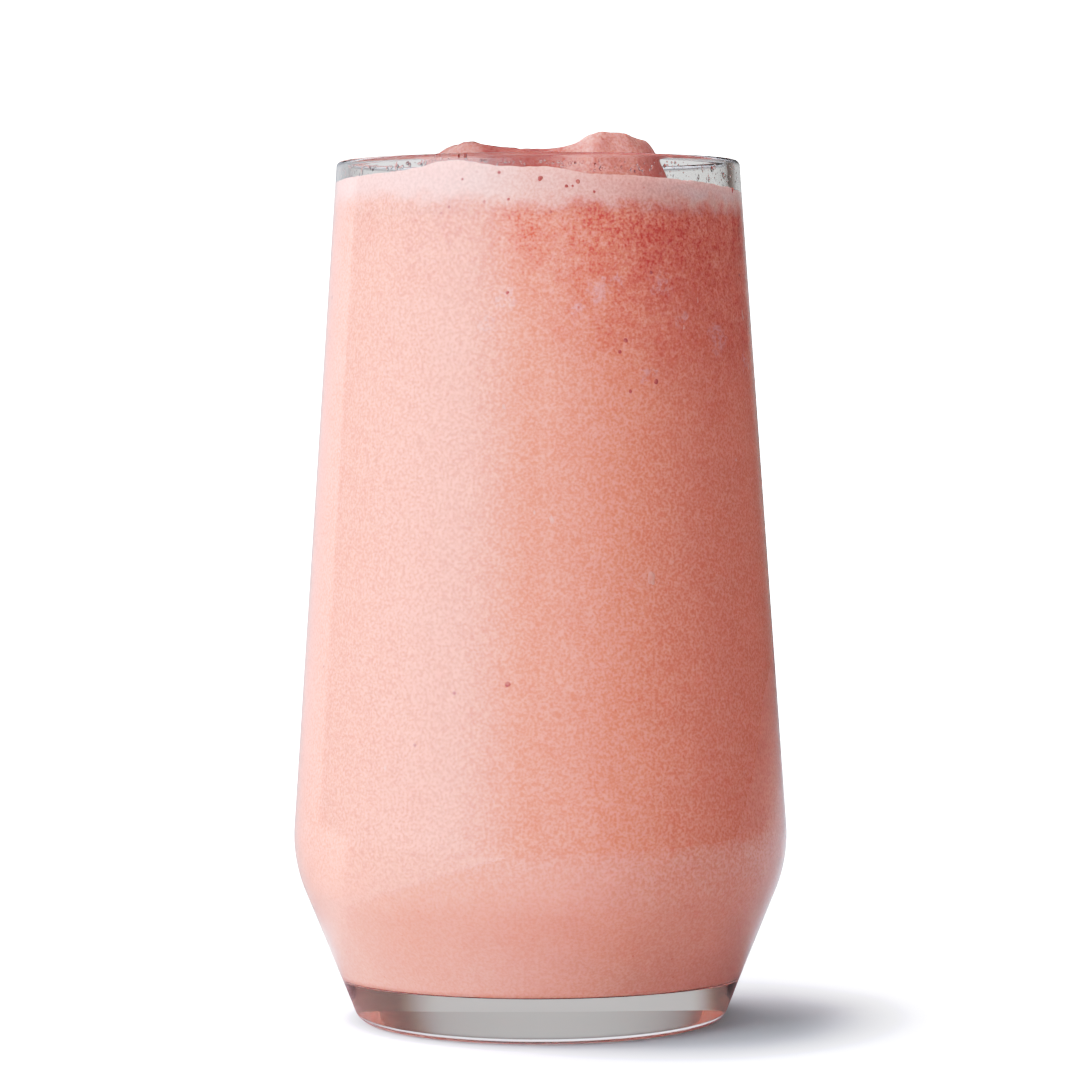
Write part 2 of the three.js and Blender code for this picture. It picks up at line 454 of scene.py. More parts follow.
def blended_fruit():
    """Colour of the blended drink by height, with its pulp, foam patches, bubbles and specks.

    Pink below, redder with clumps of pulp near the top, more so on the right, and pale froth on
    top. They meet in ragged bands. Pulp adds redness anywhere, Froth is how much froth shows, Wet
    how dark the juice stands in the crown's saddle and at its right foot, with painted shade that
    darkens the lower parts, and how much painted light makes the crown darker on its left and
    lighter on its right, and Value how light it is.
    """
    tree = bpy.data.node_groups.new("blended_fruit", "ShaderNodeTree")
    for name in ("Pulp", "Froth", "Wet_and_shade", "Value"):
        tree.interface.new_socket(name, in_out="INPUT", socket_type="NodeSocketFloat")
    tree.interface.new_socket("Color", in_out="OUTPUT", socket_type="NodeSocketColor")
    tree.interface.new_socket("Grain", in_out="OUTPUT", socket_type="NodeSocketFloat")
    given = tree.nodes.new("NodeGroupInput").outputs
    result = tree.nodes.new("NodeGroupOutput").inputs
    metres = add(tree, "TexCoord").outputs["Object"]
    place = add(tree, "Mapping", {"Vector": metres, "Scale": [MM_PER_METRE] * 3}).outputs[0]
    axes = add(tree, "SeparateXYZ", {0: place}).outputs
    right, height = axes["X"], axes["Z"]
    clouds = noise(tree, place, *CLOUDS)
    swirls = noise(tree, place, *SWIRLS)
    clumps = noise(tree, place, *CLUMPS)
    grit = noise(tree, place, *GRIT)
    grain = noise(tree, place, *GRAIN)

    pulp_height = shifted(tree, shifted(tree, height, clouds, PULP_WANDERS), right, PULP_LEANS)
    zone = both(tree, band(tree, pulp_height, *PULP_RISES), given["Pulp"], "ADD")
    clumped = both(tree, band(tree, clumps, *PULP_CLUMPS), band(tree, swirls, *PULP_SWIRLS), "ADD")
    clumped = both(tree, clumped, band(tree, grit, *PULP_GRIT), "ADD")
    color = blend(tree, both(tree, zone, clumped), PINK, RED)

    foam = foam_mask(tree, place)
    color = blend(tree, foam, color, PALE)
    pinholes = both(tree, dots(tree, place, *PINHOLES), both(tree, foam, PINHOLES_AMOUNT))
    color = blend(tree, pinholes, color, RED)

    # Painted light: the drink pales towards the bottom, standing in for light through the glass foot
    lit_foot_height = shifted(tree, height, clouds, FOOT_WANDERS)
    color = blend(tree, band(tree, lit_foot_height, *FOOT_PAINTED_LIGHT), color, FROTH_PINK)

    froth_height = shifted(tree, height, noise(tree, place, *FROTH_EDGE), FROTH_EDGE_WANDERS)
    froth_height = shifted(tree, froth_height, clumps, FROTH_EDGE_CLUMPS)
    froth_height = shifted(tree, froth_height, right, FROTH_EDGE_LEANS)
    froth = both(tree, band(tree, froth_height, *FROTH_STARTS), given["Froth"])
    thin = both(
        tree, band(tree, right, *FROTH_THINS_RIGHT), band(tree, froth_height, *FROTH_THINS_ABOVE)
    )
    color = blend(tree, froth, color, blend(tree, thin, FROTH_PINK, FROTH_THIN))

    # Dark juice with painted shade: darker red in the crown's saddle, at its right foot and lower down
    saddle = shifted(tree, both(tree, right, WET_SADDLE_MIDDLE, "SUBTRACT"), swirls, WET_WANDERS)
    saddle = band(tree, both(tree, saddle, 0, "ABSOLUTE"), *WET_SADDLE)
    wet = both(tree, saddle, band(tree, right, *WET_RIGHT_FOOT), "MAXIMUM")
    wet_shade_height = shifted(tree, height, swirls, WET_WANDERS)
    wet = both(tree, both(tree, wet, band(tree, wet_shade_height, *WET_SHADE_BELOW)), given["Wet_and_shade"])
    color = blend(tree, wet, color, WET_RED_AND_SHADE)

    red_specks = both(tree, dots(tree, place, *RED_SPECKS), RED_SPECKS_AMOUNT)
    color = blend(tree, red_specks, color, RED)
    pale_specks = both(tree, dots(tree, place, *PALE_SPECKS), PALE_SPECKS_AMOUNT)
    color = blend(tree, pale_specks, color, PALE)

    shade = both(tree, band(tree, grain, *GRAIN_LIGHTENS), band(tree, height, *GRAIN_SHOWS))
    # Painted light and shade: the crown is darker on its left and lighter on its right
    crown = both(tree, both(tree, band(tree, right, *CROWN_PAINTED_LIGHT), given["Wet_and_shade"]), 1, "ADD")
    value = both(tree, shade, band(tree, height, *GRAIN_DARKEST), "ADD")
    color = add(tree, "HueSaturation", {
        "Color": color, "Value": both(tree, value, both(tree, given["Value"], crown)),
        "Saturation": both(tree, both(tree, shade, GRAIN_SATURATION), SATURATION, "ADD"),
    }).outputs[0]
    tree.links.new(color, result["Color"])
    tree.links.new(grain, result["Grain"])
    return tree


def drink_material(name, roughness, gloss, bump, pulp=0, froth=1, wet=0, value=1):
    """Thick wet drink that light enters, redder as it goes deeper. Gloss is its specular level."""
    material, tree, output = new_material(name)
    fruit = tree.nodes.new("ShaderNodeGroup")
    fruit.node_tree = bpy.data.node_groups.get("blended_fruit") or blended_fruit()
    fruit.inputs["Pulp"].default_value = pulp
    fruit.inputs["Froth"].default_value = froth
    # This input also sets the painted shade in the crown's hollows and the painted light across the
    # crown
    fruit.inputs["Wet_and_shade"].default_value = wet
    fruit.inputs["Value"].default_value = value
    relief = add(tree, "Bump", {
        "Height": fruit.outputs["Grain"], "Strength": bump, "Distance": GRAIN_HEIGHT,
    })
    surface = add(tree, "BsdfPrincipled", {
        "Base Color": fruit.outputs["Color"], "Roughness": roughness, "IOR": DRINK_IOR,
        "Specular IOR Level": gloss, "Subsurface Weight": GLOW_SHARE,
        "Subsurface Radius": GLOW_COLOURS, "Subsurface Scale": GLOW_REACH,
        "Normal": relief.outputs["Normal"],
    }, subsurface_method="BURLEY")
    tree.links.new(surface.outputs[0], output.inputs["Surface"])
    return material


def drink_on_floor():
    """The drink where it lies on the glass floor, which mirrors what grazes it from below."""
    material = drink_material("smoothie_on_floor", roughness=0.5, gloss=0.05, bump=0)
    tree = material.node_tree
    output = tree.nodes["Material Output"]
    surface = output.inputs["Surface"].links[0].from_socket
    grazing = add(tree, "Fresnel", {"IOR": DRINK_IN_GLASS_IOR})
    mirror = add(tree, "BsdfGlossy", {"Color": (1, 1, 1, 1), "Roughness": 0})
    mix = add(tree, "MixShader", {0: grazing.outputs[0], 1: surface, 2: mirror.outputs[0]})
    tree.links.new(mix.outputs[0], output.inputs["Surface"])
    return material


side = rounded_outline(
    inside_corners(-WALL_REACH) + [(inside_radius(DRINK_LEVEL) + WALL_REACH, DRINK_LEVEL, 0)]
)
rings = np.linspace(1, 0, CROWN_RINGS + 1)[1:, None] * side[-1] * (1, 0) + (0, DRINK_LEVEL)
drink_grid = turned(np.concatenate([side, rings]), DRINK_TURNS)
crown = drink_grid[len(side) - 1:]
crown[..., 2] = drink_top(crown[..., 0], crown[..., 1])
rough = sum(
    height * lumps(crown, size, seed) for seed, (size, height) in enumerate(SLUSH_LUMPS)
) * smooth_step(crown_share(crown[..., 0], crown[..., 1]), *SLUSH_STARTS)
rough[-1] = rough[-1].mean()
crown += outward(crown) * rough[..., None]
smoothie = closed_piece("smoothie_drink", drink_grid, ends_on_axis=True)
smoothie.data.materials.append(
    drink_material("smoothie_at_glass", roughness=0.5, gloss=0.05, bump=0)
)
smoothie.data.materials.append(drink_material(
    "icy_slush", roughness=0.3, gloss=0.12, bump=0.4, pulp=0.15, froth=0.45, wet=1, value=0.62
))
smoothie.data.materials.append(drink_on_floor())
# The faces run from the floor's first ring up the wall and over the crown, and then come the caps
# at the middle of the floor and at the middle of the crown.
finish = np.zeros(len(smoothie.data.polygons), np.int32)
finish[(len(side) - 2) * DRINK_TURNS:] = 1
finish[:ARC_POINTS * DRINK_TURNS] = 2
finish[-2 * DRINK_TURNS:-DRINK_TURNS] = 2
smoothie.data.polygons.foreach_set("material_index", finish)
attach(smoothie, "root")
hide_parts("smoothie")

# Froth
# Foam that rose from the blending and lies on the drink as a collar round the crown. Its top is
# pitted by small bubbles, leans to the right and the back, and climbs a little at the glass.
FROTH_LEVEL = 0.1371
FROTH_LEAN_RIGHT = 0.012
FROTH_LEAN_BACK = 0.062
FROTH_CLIMB = 0.0007
FROTH_CLIMB_REACH = 0.0025
FROTH_DROP = 0.00095
FROTH_DROPS_BETWEEN = (0.001, 0.0085)
FROTH_FILMS = [(-0.44, 0.17, 0.0016), (2.6, 0.35, 0.0012), (-2.1, 0.4, 0.001)]
FROTH_FILM_REACH = 0.0006
FROTH_UNDER_CROWN = 0.72
FROTH_TURNS = 384
FROTH_STEPS = 56
FROTH_SUNK = 0.0004
FROTH_WALL_ROWS = 6
BUBBLE_SIZE = 0.0009
BIG_BUBBLE_SIZE = 2.4 * BUBBLE_SIZE
BUBBLE_HEIGHT = 0.00018
BUBBLE_CELLS = 64


def grains(x, y, size, seed):
    """Round-topped grains from 0 to 1 over a plane of square cells with one grain in each.

    A seeded draw puts each grain anywhere in its cell. A point's height is 1 minus the squared
    distance to the nearest grain of the nine cells around it, and never under 0.
    """
    draw = np.random.default_rng(seed).random((BUBBLE_CELLS, BUBBLE_CELLS, 2))
    u, v = x / size, y / size
    column, row = np.floor(u).astype(int), np.floor(v).astype(int)
    nearest = np.ones(u.shape)
    for step_u in (-1, 0, 1):
        for step_v in (-1, 0, 1):
            seat = draw[(column + step_u) % BUBBLE_CELLS, (row + step_v) % BUBBLE_CELLS]
            gap = (column + step_u + seat[..., 0] - u) ** 2 + (row + step_v + seat[..., 1] - v) ** 2
            nearest = np.minimum(nearest, gap)
    return 1 - nearest


def froth_top(x, y):
    """A leaning plane that drops on the right and climbs at the wall, dimpled by small bubbles.

    Films that the froth left as it sank climb further: each is (middle, half width, rise), and
    climbs by its rise times a bell curve of the bearing round its middle.
    """
    from_wall = np.clip(inside_radius(FROTH_LEVEL) - np.hypot(x, y), 0, None)
    bearing = np.arctan2(x, -y)
    films = sum(
        rise * np.exp(-((bearing - middle) / half) ** 2) for middle, half, rise in FROTH_FILMS
    )
    climb = (
        FROTH_CLIMB * np.exp(-from_wall / FROTH_CLIMB_REACH)
        + films * np.exp(-from_wall / FROTH_FILM_REACH)
    )
    drop = FROTH_DROP * smooth_step(x, *FROTH_DROPS_BETWEEN)
    bubbles = grains(x, y, BUBBLE_SIZE, seed=2) + grains(x, y, BIG_BUBBLE_SIZE, seed=3) - 1
    plane = FROTH_LEVEL - FROTH_LEAN_RIGHT * x - FROTH_LEAN_BACK * y
    return plane - drop + climb + BUBBLE_HEIGHT * bubbles


angle = np.arange(FROTH_TURNS) * 2 * pi / FROTH_TURNS
power = 2 / CROWN_SQUARENESS
inner = FROTH_UNDER_CROWN * np.stack([
    CROWN_HALF_LENGTH * np.sign(np.cos(angle)) * np.abs(np.cos(angle)) ** power,
    CROWN_HALF_DEPTH * np.sign(np.sin(angle)) * np.abs(np.sin(angle)) ** power,
], axis=-1) + (CROWN_CENTRE, 0)
outwards = np.stack([np.cos(angle), np.sin(angle)], axis=-1)
outer_low = (inside_radius(DRINK_LEVEL) + WALL_REACH) * outwards
edge = froth_top(*(inside_radius(FROTH_LEVEL) * outwards).T)[:, None]
outer_high = (inside_radius(edge) + WALL_REACH) * outwards
share = np.linspace(1, 0, FROTH_STEPS)[:, None, None]
lid = inner * (1 - share) + outer_high * share
lid = np.concatenate([lid, froth_top(lid[..., :1], lid[..., 1:])], axis=-1)
under = np.stack([inner, outer_low])
under = np.concatenate([under, np.full((2, FROTH_TURNS, 1), DRINK_LEVEL - FROTH_SUNK)], axis=-1)
froth = closed_piece("froth_collar", np.concatenate([under, lid]), ends_on_axis=False)
froth.data.materials.append(drink_material("froth", roughness=0.5, gloss=0.2, bump=0.2))
froth.data.materials.append(drink_material(
    "froth_top", roughness=0.4, gloss=0.1, bump=0.3, pulp=0.5, froth=0.1, wet=0.35, value=0.55
))
finish = np.zeros(len(froth.data.polygons), np.int32)
finish[FROTH_WALL_ROWS * FROTH_TURNS:-FROTH_TURNS] = 1
froth.data.polygons.foreach_set("material_index", finish)
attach(froth, "root")
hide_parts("froth")

# Fruit bits
# Scraps of strawberry skin and seed that the blades left whole. They hang in the drink, and those
# that touch the glass show as dark red specks. Each is (bearing in degrees, height, size).
SHOWN_BITS = [
    (0.5, 0.1380, 0.0011), (11.2, 0.1375, 0.0010), (7.9, 0.1368, 0.0007), (-7.8, 0.0584, 0.0011),
    (-31, 0.0484, 0.0007), (-21, 0.0568, 0.0007), (23.7, 0.1124, 0.0010), (22.1, 0.1106, 0.0010),
    (32.6, 0.1058, 0.0011), (24.7, 0.1043, 0.0008), (32.4, 0.1232, 0.0008), (-8.5, 0.1200, 0.0007),
    (-15.2, 0.1344, 0.0006), (-11.1, 0.1390, 0.0007), (-21.8, 0.1380, 0.0005),
    (-27.9, 0.1327, 0.0005), (-25.7, 0.1336, 0.0005), (9.6, 0.1368, 0.0005), (3.5, 0.1327, 0.0007),
    (-8.3, 0.1347, 0.0005), (15.8, 0.1359, 0.0005),
]
HIDDEN_BITS = 46
BIT_BEARINGS = (1.15, 5.2)
BIT_HEIGHTS = (0.034, 0.137)
BIT_SIZES = (0.0005, 0.0012)
BIT_SHAPE = (1, 1, 0.5)
BIT_SUNK = 0.18
BIT_STANDS_OUT = 0.00002
BIT_RED = (0.46, 0.10, 0.085, 1)
BIT_LIGHT = (0.60, 0.19, 0.15, 1)
BIT_CLOUDS = (1400, 1)
BIT_PALES = (0.4, 0.65)
BALL_LUMPS = 0.8
BALLS_APART = 7


def scattered(name, grids):
    """One piece of many small closed shapes, each a grid that starts and ends in a point."""
    count, stations, turns = grids.shape[:3]
    points = np.concatenate([
        grids[:, 0, :1], grids[:, 1:-1].reshape(count, -1, 3), grids[:, -1, :1],
    ], axis=1)
    step = (np.arange(count) * points.shape[1])[:, None, None]
    walls, caps = closed_net(stations, turns, True)
    faces = (walls + step).reshape(-1, 4).tolist() + (caps + step).reshape(-1, 3).tolist()
    return smooth_piece(name, points.reshape(-1, 3), faces)


def at_wall(bearing, height, local):
    """Shapes given in local (round, up, out) lengths, each moved to its place on the inside wall.

    Bearing 0 is the shown side, and bearings grow towards its right. Up follows the wall's lean.
    """
    bearing, height = bearing[:, None, None], height[:, None, None]
    radius = inside_radius(height + local[..., 1]) + local[..., 2]
    turn = bearing + local[..., 0] / radius
    return np.stack([radius * np.sin(turn), -radius * np.cos(turn), height + local[..., 1]], axis=-1)


def lumpy_balls(sizes, stations, turns, unevenness, seed):
    """Balls of the given diameters, each pushed in and out by lumps of about half its size."""
    polar = np.linspace(0, pi, stations)
    ball = turned(np.stack([np.sin(polar), -np.cos(polar)], axis=-1), turns)
    apart = BALLS_APART * np.arange(len(sizes))[:, None, None, None]
    push = 1 + unevenness * lumps(ball + apart, BALL_LUMPS, seed)
    push[:, [0, -1]] = push[:, [0, -1]].mean(axis=2, keepdims=True)
    return ball * push[..., None] * sizes[:, None, None, None] / 2


def clouded_material(name, clouds, edges, first, second, roughness, gloss):
    """One colour that goes over into another in small clouds."""
    material, tree, output = new_material(name)
    place = add(tree, "TexCoord").outputs["Object"]
    share = band(tree, noise(tree, place, *clouds), *edges)
    surface = add(tree, "BsdfPrincipled", {
        "Base Color": blend(tree, share, first, second), "Roughness": roughness,
        "Specular IOR Level": gloss,
    })
    tree.links.new(surface.outputs[0], output.inputs["Surface"])
    return material


# The root puts more of the hidden bits near the top.
draw = np.random.default_rng(11)
shown = np.array(SHOWN_BITS)
bit_bearings = np.concatenate([np.radians(shown[:, 0]), draw.uniform(*BIT_BEARINGS, HIDDEN_BITS)])
bit_heights = np.concatenate([
    shown[:, 1], BIT_HEIGHTS[0] + np.ptp(BIT_HEIGHTS) * draw.random(HIDDEN_BITS) ** 0.5,
])
bit_sizes = np.concatenate([shown[:, 2], draw.uniform(*BIT_SIZES, HIDDEN_BITS)])
bit_shapes = lumpy_balls(bit_sizes, stations=7, turns=10, unevenness=0.3, seed=5) * BIT_SHAPE
bit_shapes[..., 2] += WALL_REACH + BIT_STANDS_OUT - BIT_SUNK * bit_sizes[:, None, None]
bits = scattered("fruit_bits", at_wall(bit_bearings, bit_heights, bit_shapes))
bits.data.materials.append(clouded_material(
    "fruit_bits", BIT_CLOUDS, BIT_PALES, BIT_RED, BIT_LIGHT, roughness=0.4, gloss=0.5
))
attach(bits, "root")

# Ice flecks
# Crumbs of ice and clotted foam against the glass, a little paler than the drink round them. They
# are flatter and rounder than the fruit bits. Each is (bearing in degrees, height, size).
SHOWN_FLECKS = [
    (28.8, 0.0745, 0.0022), (-1, 0.0852, 0.0013), (3, 0.0843, 0.0011), (-9, 0.1020, 0.0012),
]
HIDDEN_FLECKS = 34
FLECK_BEARINGS = (0.6, 5.7)
FLECK_HEIGHTS = (0.036, 0.128)
FLECK_SIZES = (0.0007, 0.0018)
FLECK_SHAPE = (0.6, 1, 0.22)
FLECK_SUNK = 0.06
FLECK_PALE = (0.88, 0.46, 0.38, 1)
FLECK_PINK = (0.88, 0.38, 0.30, 1)
FLECK_CLOUDS = (900, 3)
FLECK_PALES = (0.38, 0.6)

shown = np.array(SHOWN_FLECKS)
fleck_bearings = np.concatenate([
    np.radians(shown[:, 0]), draw.uniform(*FLECK_BEARINGS, HIDDEN_FLECKS),
])
fleck_heights = np.concatenate([shown[:, 1], draw.uniform(*FLECK_HEIGHTS, HIDDEN_FLECKS)])
fleck_sizes = np.concatenate([shown[:, 2], draw.uniform(*FLECK_SIZES, HIDDEN_FLECKS)])
fleck_shapes = lumpy_balls(fleck_sizes, stations=11, turns=18, unevenness=0.8, seed=6) * FLECK_SHAPE
fleck_shapes[..., 2] += WALL_REACH - FLECK_SUNK * fleck_sizes[:, None, None]
flecks = scattered("ice_flecks", at_wall(fleck_bearings, fleck_heights, fleck_shapes))
flecks.data.materials.append(clouded_material(
    "ice_flecks", FLECK_CLOUDS, FLECK_PALES, FLECK_PINK, FLECK_PALE, roughness=0.5, gloss=0.1
))
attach(flecks, "root")

# Dew
# Small drops of clear water on the inside of the cold glass, between the froth and the rim. Some
# have run together and drawn out downwards.
DEW_COUNT = 520
DEW_SIZES = (0.0002, 0.0007)
DEW_BELOW_RIM = 0.0013
DEW_ABOVE_FROTH = 0.0004
DEW_RUNS = 0.12
DEW_RUN_LENGTHS = (1.6, 3)
DEW_CONTACT = 0.00002
DEW_TURNS = 10
DROP_OUTLINE = [(0, 0), (0.9, 0), (1, 0.12), (0.78, 0.36), (0.42, 0.52), (0, 0.58)]
WATER_IOR = 1.33
RIPPLES = (900, 2)
RIPPLE_STRENGTH = 0.05
RIPPLE_HEIGHT = 0.0001


def dew_material():
    """Clear water, with the faintest ripple."""
    material, tree, output = new_material("dew")
    place = add(tree, "TexCoord").outputs["Object"]
    bump = add(tree, "Bump", {
        "Height": noise(tree, place, *RIPPLES), "Strength": RIPPLE_STRENGTH, "Distance": RIPPLE_HEIGHT,
    })
    water = add(tree, "BsdfPrincipled", {
        "Base Color": (1, 1, 1, 1), "Roughness": 0, "IOR": WATER_IOR, "Transmission Weight": 1,
        "Normal": bump.outputs["Normal"],
    })
    tree.links.new(water.outputs[0], output.inputs["Surface"])
    return material


# The square makes small drops the more common ones.
dew_bearings = draw.uniform(0, 2 * pi, DEW_COUNT)
froth_radius = inside_radius(FROTH_LEVEL)
dew_lowest = DEW_ABOVE_FROTH + froth_top(
    froth_radius * np.sin(dew_bearings), -froth_radius * np.cos(dew_bearings)
)
dew_heights = dew_lowest + (GLASS_HEIGHT - DEW_BELOW_RIM - dew_lowest) * draw.random(DEW_COUNT)
dew_sizes = DEW_SIZES[0] + np.ptp(DEW_SIZES) * draw.random(DEW_COUNT) ** 2
dew_tall = np.where(
    draw.random(DEW_COUNT) < DEW_RUNS, draw.uniform(*DEW_RUN_LENGTHS, DEW_COUNT), 1
)
dome = turned(np.array(DROP_OUTLINE), DEW_TURNS)
dew_shapes = dome * dew_sizes[:, None, None, None] / 2 * (1, -1, -1)
dew_shapes[..., 1] *= dew_tall[:, None, None]
dew_shapes[..., 2] += DEW_CONTACT
dew = scattered("dew", at_wall(dew_bearings, dew_heights, dew_shapes))
dew.data.materials.append(dew_material())
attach(dew, "root")

# Ground
# The white surface that the glass stands on. It is seen only close to the glass, with a painted
# soft shadow to the right of the foot and a painted dark contact shadow ring where the foot
# stands, and is clear further out.
GROUND_REACH = 1.2
GROUND_POINTS = 9
GROUND_LEVEL = -0.0001
GROUND_SEEN = (0.045, 0.115)
GROUND_WHITE = (1.5, 1.5, 1.5, 1)
GROUND_SHADE = (0.4, 0.42, 0.42, 1)
SHADE_CENTRE = (0.021, -0.01, 0)
SHADE_ENDS = (0.016, 0.054)
# Painted contact shadow: a dark ring on the ground round the foot
CONTACT_SHADOW_ENDS = (0.0285, 0.037)
# Painted shade for mirrored and bent light: dull pink and dark near the foot
MIRRORED_CLOSE_SHADE = (0.34, 0.21, 0.2, 1)
MIRRORED_WHITE = (0.75, 0.75, 0.75, 1)
MIRRORED_SHADE_ENDS = (0.036, 0.07)
BOUNCE_NEAR = (1, 1, 1, 1)
BOUNCE_FAR = (0.75, 0.75, 0.75, 1)
BOUNCE_ENDS = (0.2, 0.7)
HALF_A_BOUNCE = 0.5


def open_sheet(name, grid):
    """An open sheet over a grid of points."""
    rows, columns = grid.shape[:2]
    at = np.arange(rows * columns).reshape(rows, columns)
    faces = np.stack([at[:-1, :-1], at[:-1, 1:], at[1:, 1:], at[1:, :-1]], axis=-1)
    mesh = bpy.data.meshes.new(name)
    mesh.from_pydata(grid.reshape(-1, 3).tolist(), [], faces.reshape(-1, 4).tolist())
    sheet = bpy.data.objects.new(name, mesh)
    bpy.context.scene.collection.objects.link(sheet)
    return sheet


def level_grid(across, along, height):
    """Grid of points over a level rectangle."""
    x, y = np.meshgrid(across, along)
    return np.stack([x, y, np.full_like(x, height)], axis=-1)


def ground_material():
    """White ground with a colour for each kind of light.

    What is seen has a painted shadow to the right of the foot and a painted contact shadow ring.
    Light that bounces gets plain white, dimmer far out. What the glass mirrors or bends gets a
    dimmer white, and a painted dull pink shadow under the foot.
    """
    material, tree, output = new_material("white_floor")
    rays = add(tree, "LightPath").outputs
    place = add(tree, "TexCoord").outputs["Object"]
    far = add(tree, "VectorMath", {0: place}, operation="LENGTH").outputs["Value"]
    away = add(tree, "VectorMath", {0: place, 1: SHADE_CENTRE}, operation="DISTANCE")
    # Painted shadow to the right of the foot, and a painted contact shadow ring round it
    shaded = blend(tree, band(tree, away.outputs["Value"], *SHADE_ENDS), GROUND_SHADE, GROUND_WHITE)
    shaded = blend(tree, band(tree, far, *CONTACT_SHADOW_ENDS), GROUND_SHADE, shaded)
    seen = add(tree, "MixShader", {
        0: band(tree, far, *GROUND_SEEN),
        1: add(tree, "BsdfDiffuse", {"Color": shaded}).outputs[0],
        2: add(tree, "BsdfTransparent").outputs[0],
    })
    # Painted shade for what the glass mirrors or bends: dull pink and dark near the foot
    mirrored = blend(tree, band(tree, far, *MIRRORED_SHADE_ENDS), MIRRORED_CLOSE_SHADE, MIRRORED_WHITE)
    bounced = blend(tree, band(tree, far, *BOUNCE_ENDS), BOUNCE_NEAR, BOUNCE_FAR)
    bounces = both(tree, rays["Diffuse Depth"], HALF_A_BOUNCE, "GREATER_THAN")
    unseen = add(tree, "BsdfDiffuse", {"Color": blend(tree, bounces, mirrored, bounced)})
    either = add(tree, "MixShader", {
        0: rays["Is Camera Ray"], 1: unseen.outputs[0], 2: seen.outputs[0],
    })
    tree.links.new(either.outputs[0], output.inputs["Surface"])
    return material


ground_points = np.linspace(-GROUND_REACH, GROUND_REACH, GROUND_POINTS)
floor = open_sheet("floor", level_grid(ground_points, ground_points, GROUND_LEVEL))
floor.data.materials.append(ground_material())

# Light panels
# Four white panels. The veil stands on the left, and the glass mirrors it. The key above it and a
# card on the right bend round the glass too, and a round one hangs high on the right.
PANEL_RADIUS = 0.55
PANEL_POINTS = (50, 8)
COOL_WHITE = (0.95, 1, 1.14, 1)
PLAIN_WHITE = (1, 1, 1, 1)
VEIL_SWEEP = (0, 2.9)
VEIL_HEIGHTS = (0, 0.26)
VEIL_STRENGTH = 2.9
# Fades, each (what it follows, from, to, amount at to, amount at from)
VEIL_FADES = [
    ("bearing", 0.05, 0.72, 1, 0), ("bearing", 0.8, 2.3, 0.25, 1), ("height", -0.08, 0.03, 1, 0),
]
KEY_SWEEP = (0.46, 2.8)
KEY_HEIGHTS = (0.27, 0.62)
KEY_STRENGTH = 11.2
KEY_FADES = [("bearing", 1.6, 2.7, 0, 1)]
CARD_SWEEP = (-2.9, -1.4)
CARD_HEIGHTS = (0, 0.45)
CARD_STRENGTH = 0.5
CARD_FADES = [("bearing", -2.9, -2.1, 1, 0), ("bearing", -1.9, -1.4, 0, 1)]
TOP_CENTRE = (0.2, 0.03)
TOP_RADIUS = 0.15
TOP_HOLE = 0.001
TOP_POINTS = (4, 33)
TOP_HEIGHT = 0.5
TOP_STRENGTH = 4.8
UNSEEN = ("camera", "transmission", "shadow")


def bearing_of(tree, place):
    """Bearing of a place round the axis, from the shown side towards the left."""
    axes = add(tree, "SeparateXYZ", {0: place}).outputs
    return both(tree, both(tree, axes["X"], -1), both(tree, axes["Y"], -1), "ARCTAN2")


def light_panel(name, grid, color, strength, fades, hidden_from):
    """A glowing sheet. Its strength is multiplied by each fade, and some rays don't meet it."""
    panel = open_sheet(name, grid)
    material, tree, output = new_material(name)
    place = add(tree, "TexCoord").outputs["Object"]
    height = add(tree, "SeparateXYZ", {0: place}).outputs["Z"]
    followed = {"bearing": bearing_of(tree, place), "height": height}
    for way, *ends in fades:
        strength = both(tree, band(tree, followed[way], *ends), strength)
    glow = add(tree, "Emission", {"Color": color, "Strength": strength})
    tree.links.new(glow.outputs[0], output.inputs["Surface"])
    panel.data.materials.append(material)
    for ray in hidden_from:
        setattr(panel, "visible_" + ray, False)


def bent_grid(sweep, heights):
    """Grid of points bent round the axis, from one bearing to another and between two heights."""
    turn, height = np.meshgrid(
        np.linspace(*sweep, PANEL_POINTS[0]), np.linspace(*heights, PANEL_POINTS[1])
    )
    return np.stack([-PANEL_RADIUS * np.sin(turn), -PANEL_RADIUS * np.cos(turn), height], axis=-1)


def round_grid():
    """Grid of points over a level disc, out from its middle by turn."""
    spread, turn = np.meshgrid(
        np.linspace(TOP_HOLE, TOP_RADIUS, TOP_POINTS[0]), np.linspace(0, 2 * pi, TOP_POINTS[1])
    )
    return np.stack([
        TOP_CENTRE[0] + spread * np.cos(turn), TOP_CENTRE[1] + spread * np.sin(turn),
        np.full_like(turn, TOP_HEIGHT),
    ], axis=-1)


light_panel(
    "veil_panel", bent_grid(VEIL_SWEEP, VEIL_HEIGHTS), COOL_WHITE, VEIL_STRENGTH, VEIL_FADES, UNSEEN
)
light_panel(
    "key_panel", bent_grid(KEY_SWEEP, KEY_HEIGHTS), COOL_WHITE, KEY_STRENGTH, KEY_FADES,
    UNSEEN + ("glossy",),
)
light_panel(
    "right_card", bent_grid(CARD_SWEEP, CARD_HEIGHTS), PLAIN_WHITE, CARD_STRENGTH, CARD_FADES,
    UNSEEN + ("glossy",),
)
light_panel("top_panel", round_grid(), COOL_WHITE, TOP_STRENGTH, [], UNSEEN + ("glossy",))

# Shine
# The lit ground on the left, as the glass mirrors it below the veil. It glows only in mirrored
# rays, left of a line on the ground, and gives no light to anything else.
SHINE_REACH = 0.6
SHINE_POINTS = (5, 9)
SHINE_LEVEL = 0.0002
SHINE_LINE = (1, -0.136, 0)
SHINE_ENDS = (-0.056, -0.072)
SHINE_STRENGTH = 2.6
SHINE_BEHIND = 0.65
SHINE_FADES = (0.6, 2.3)


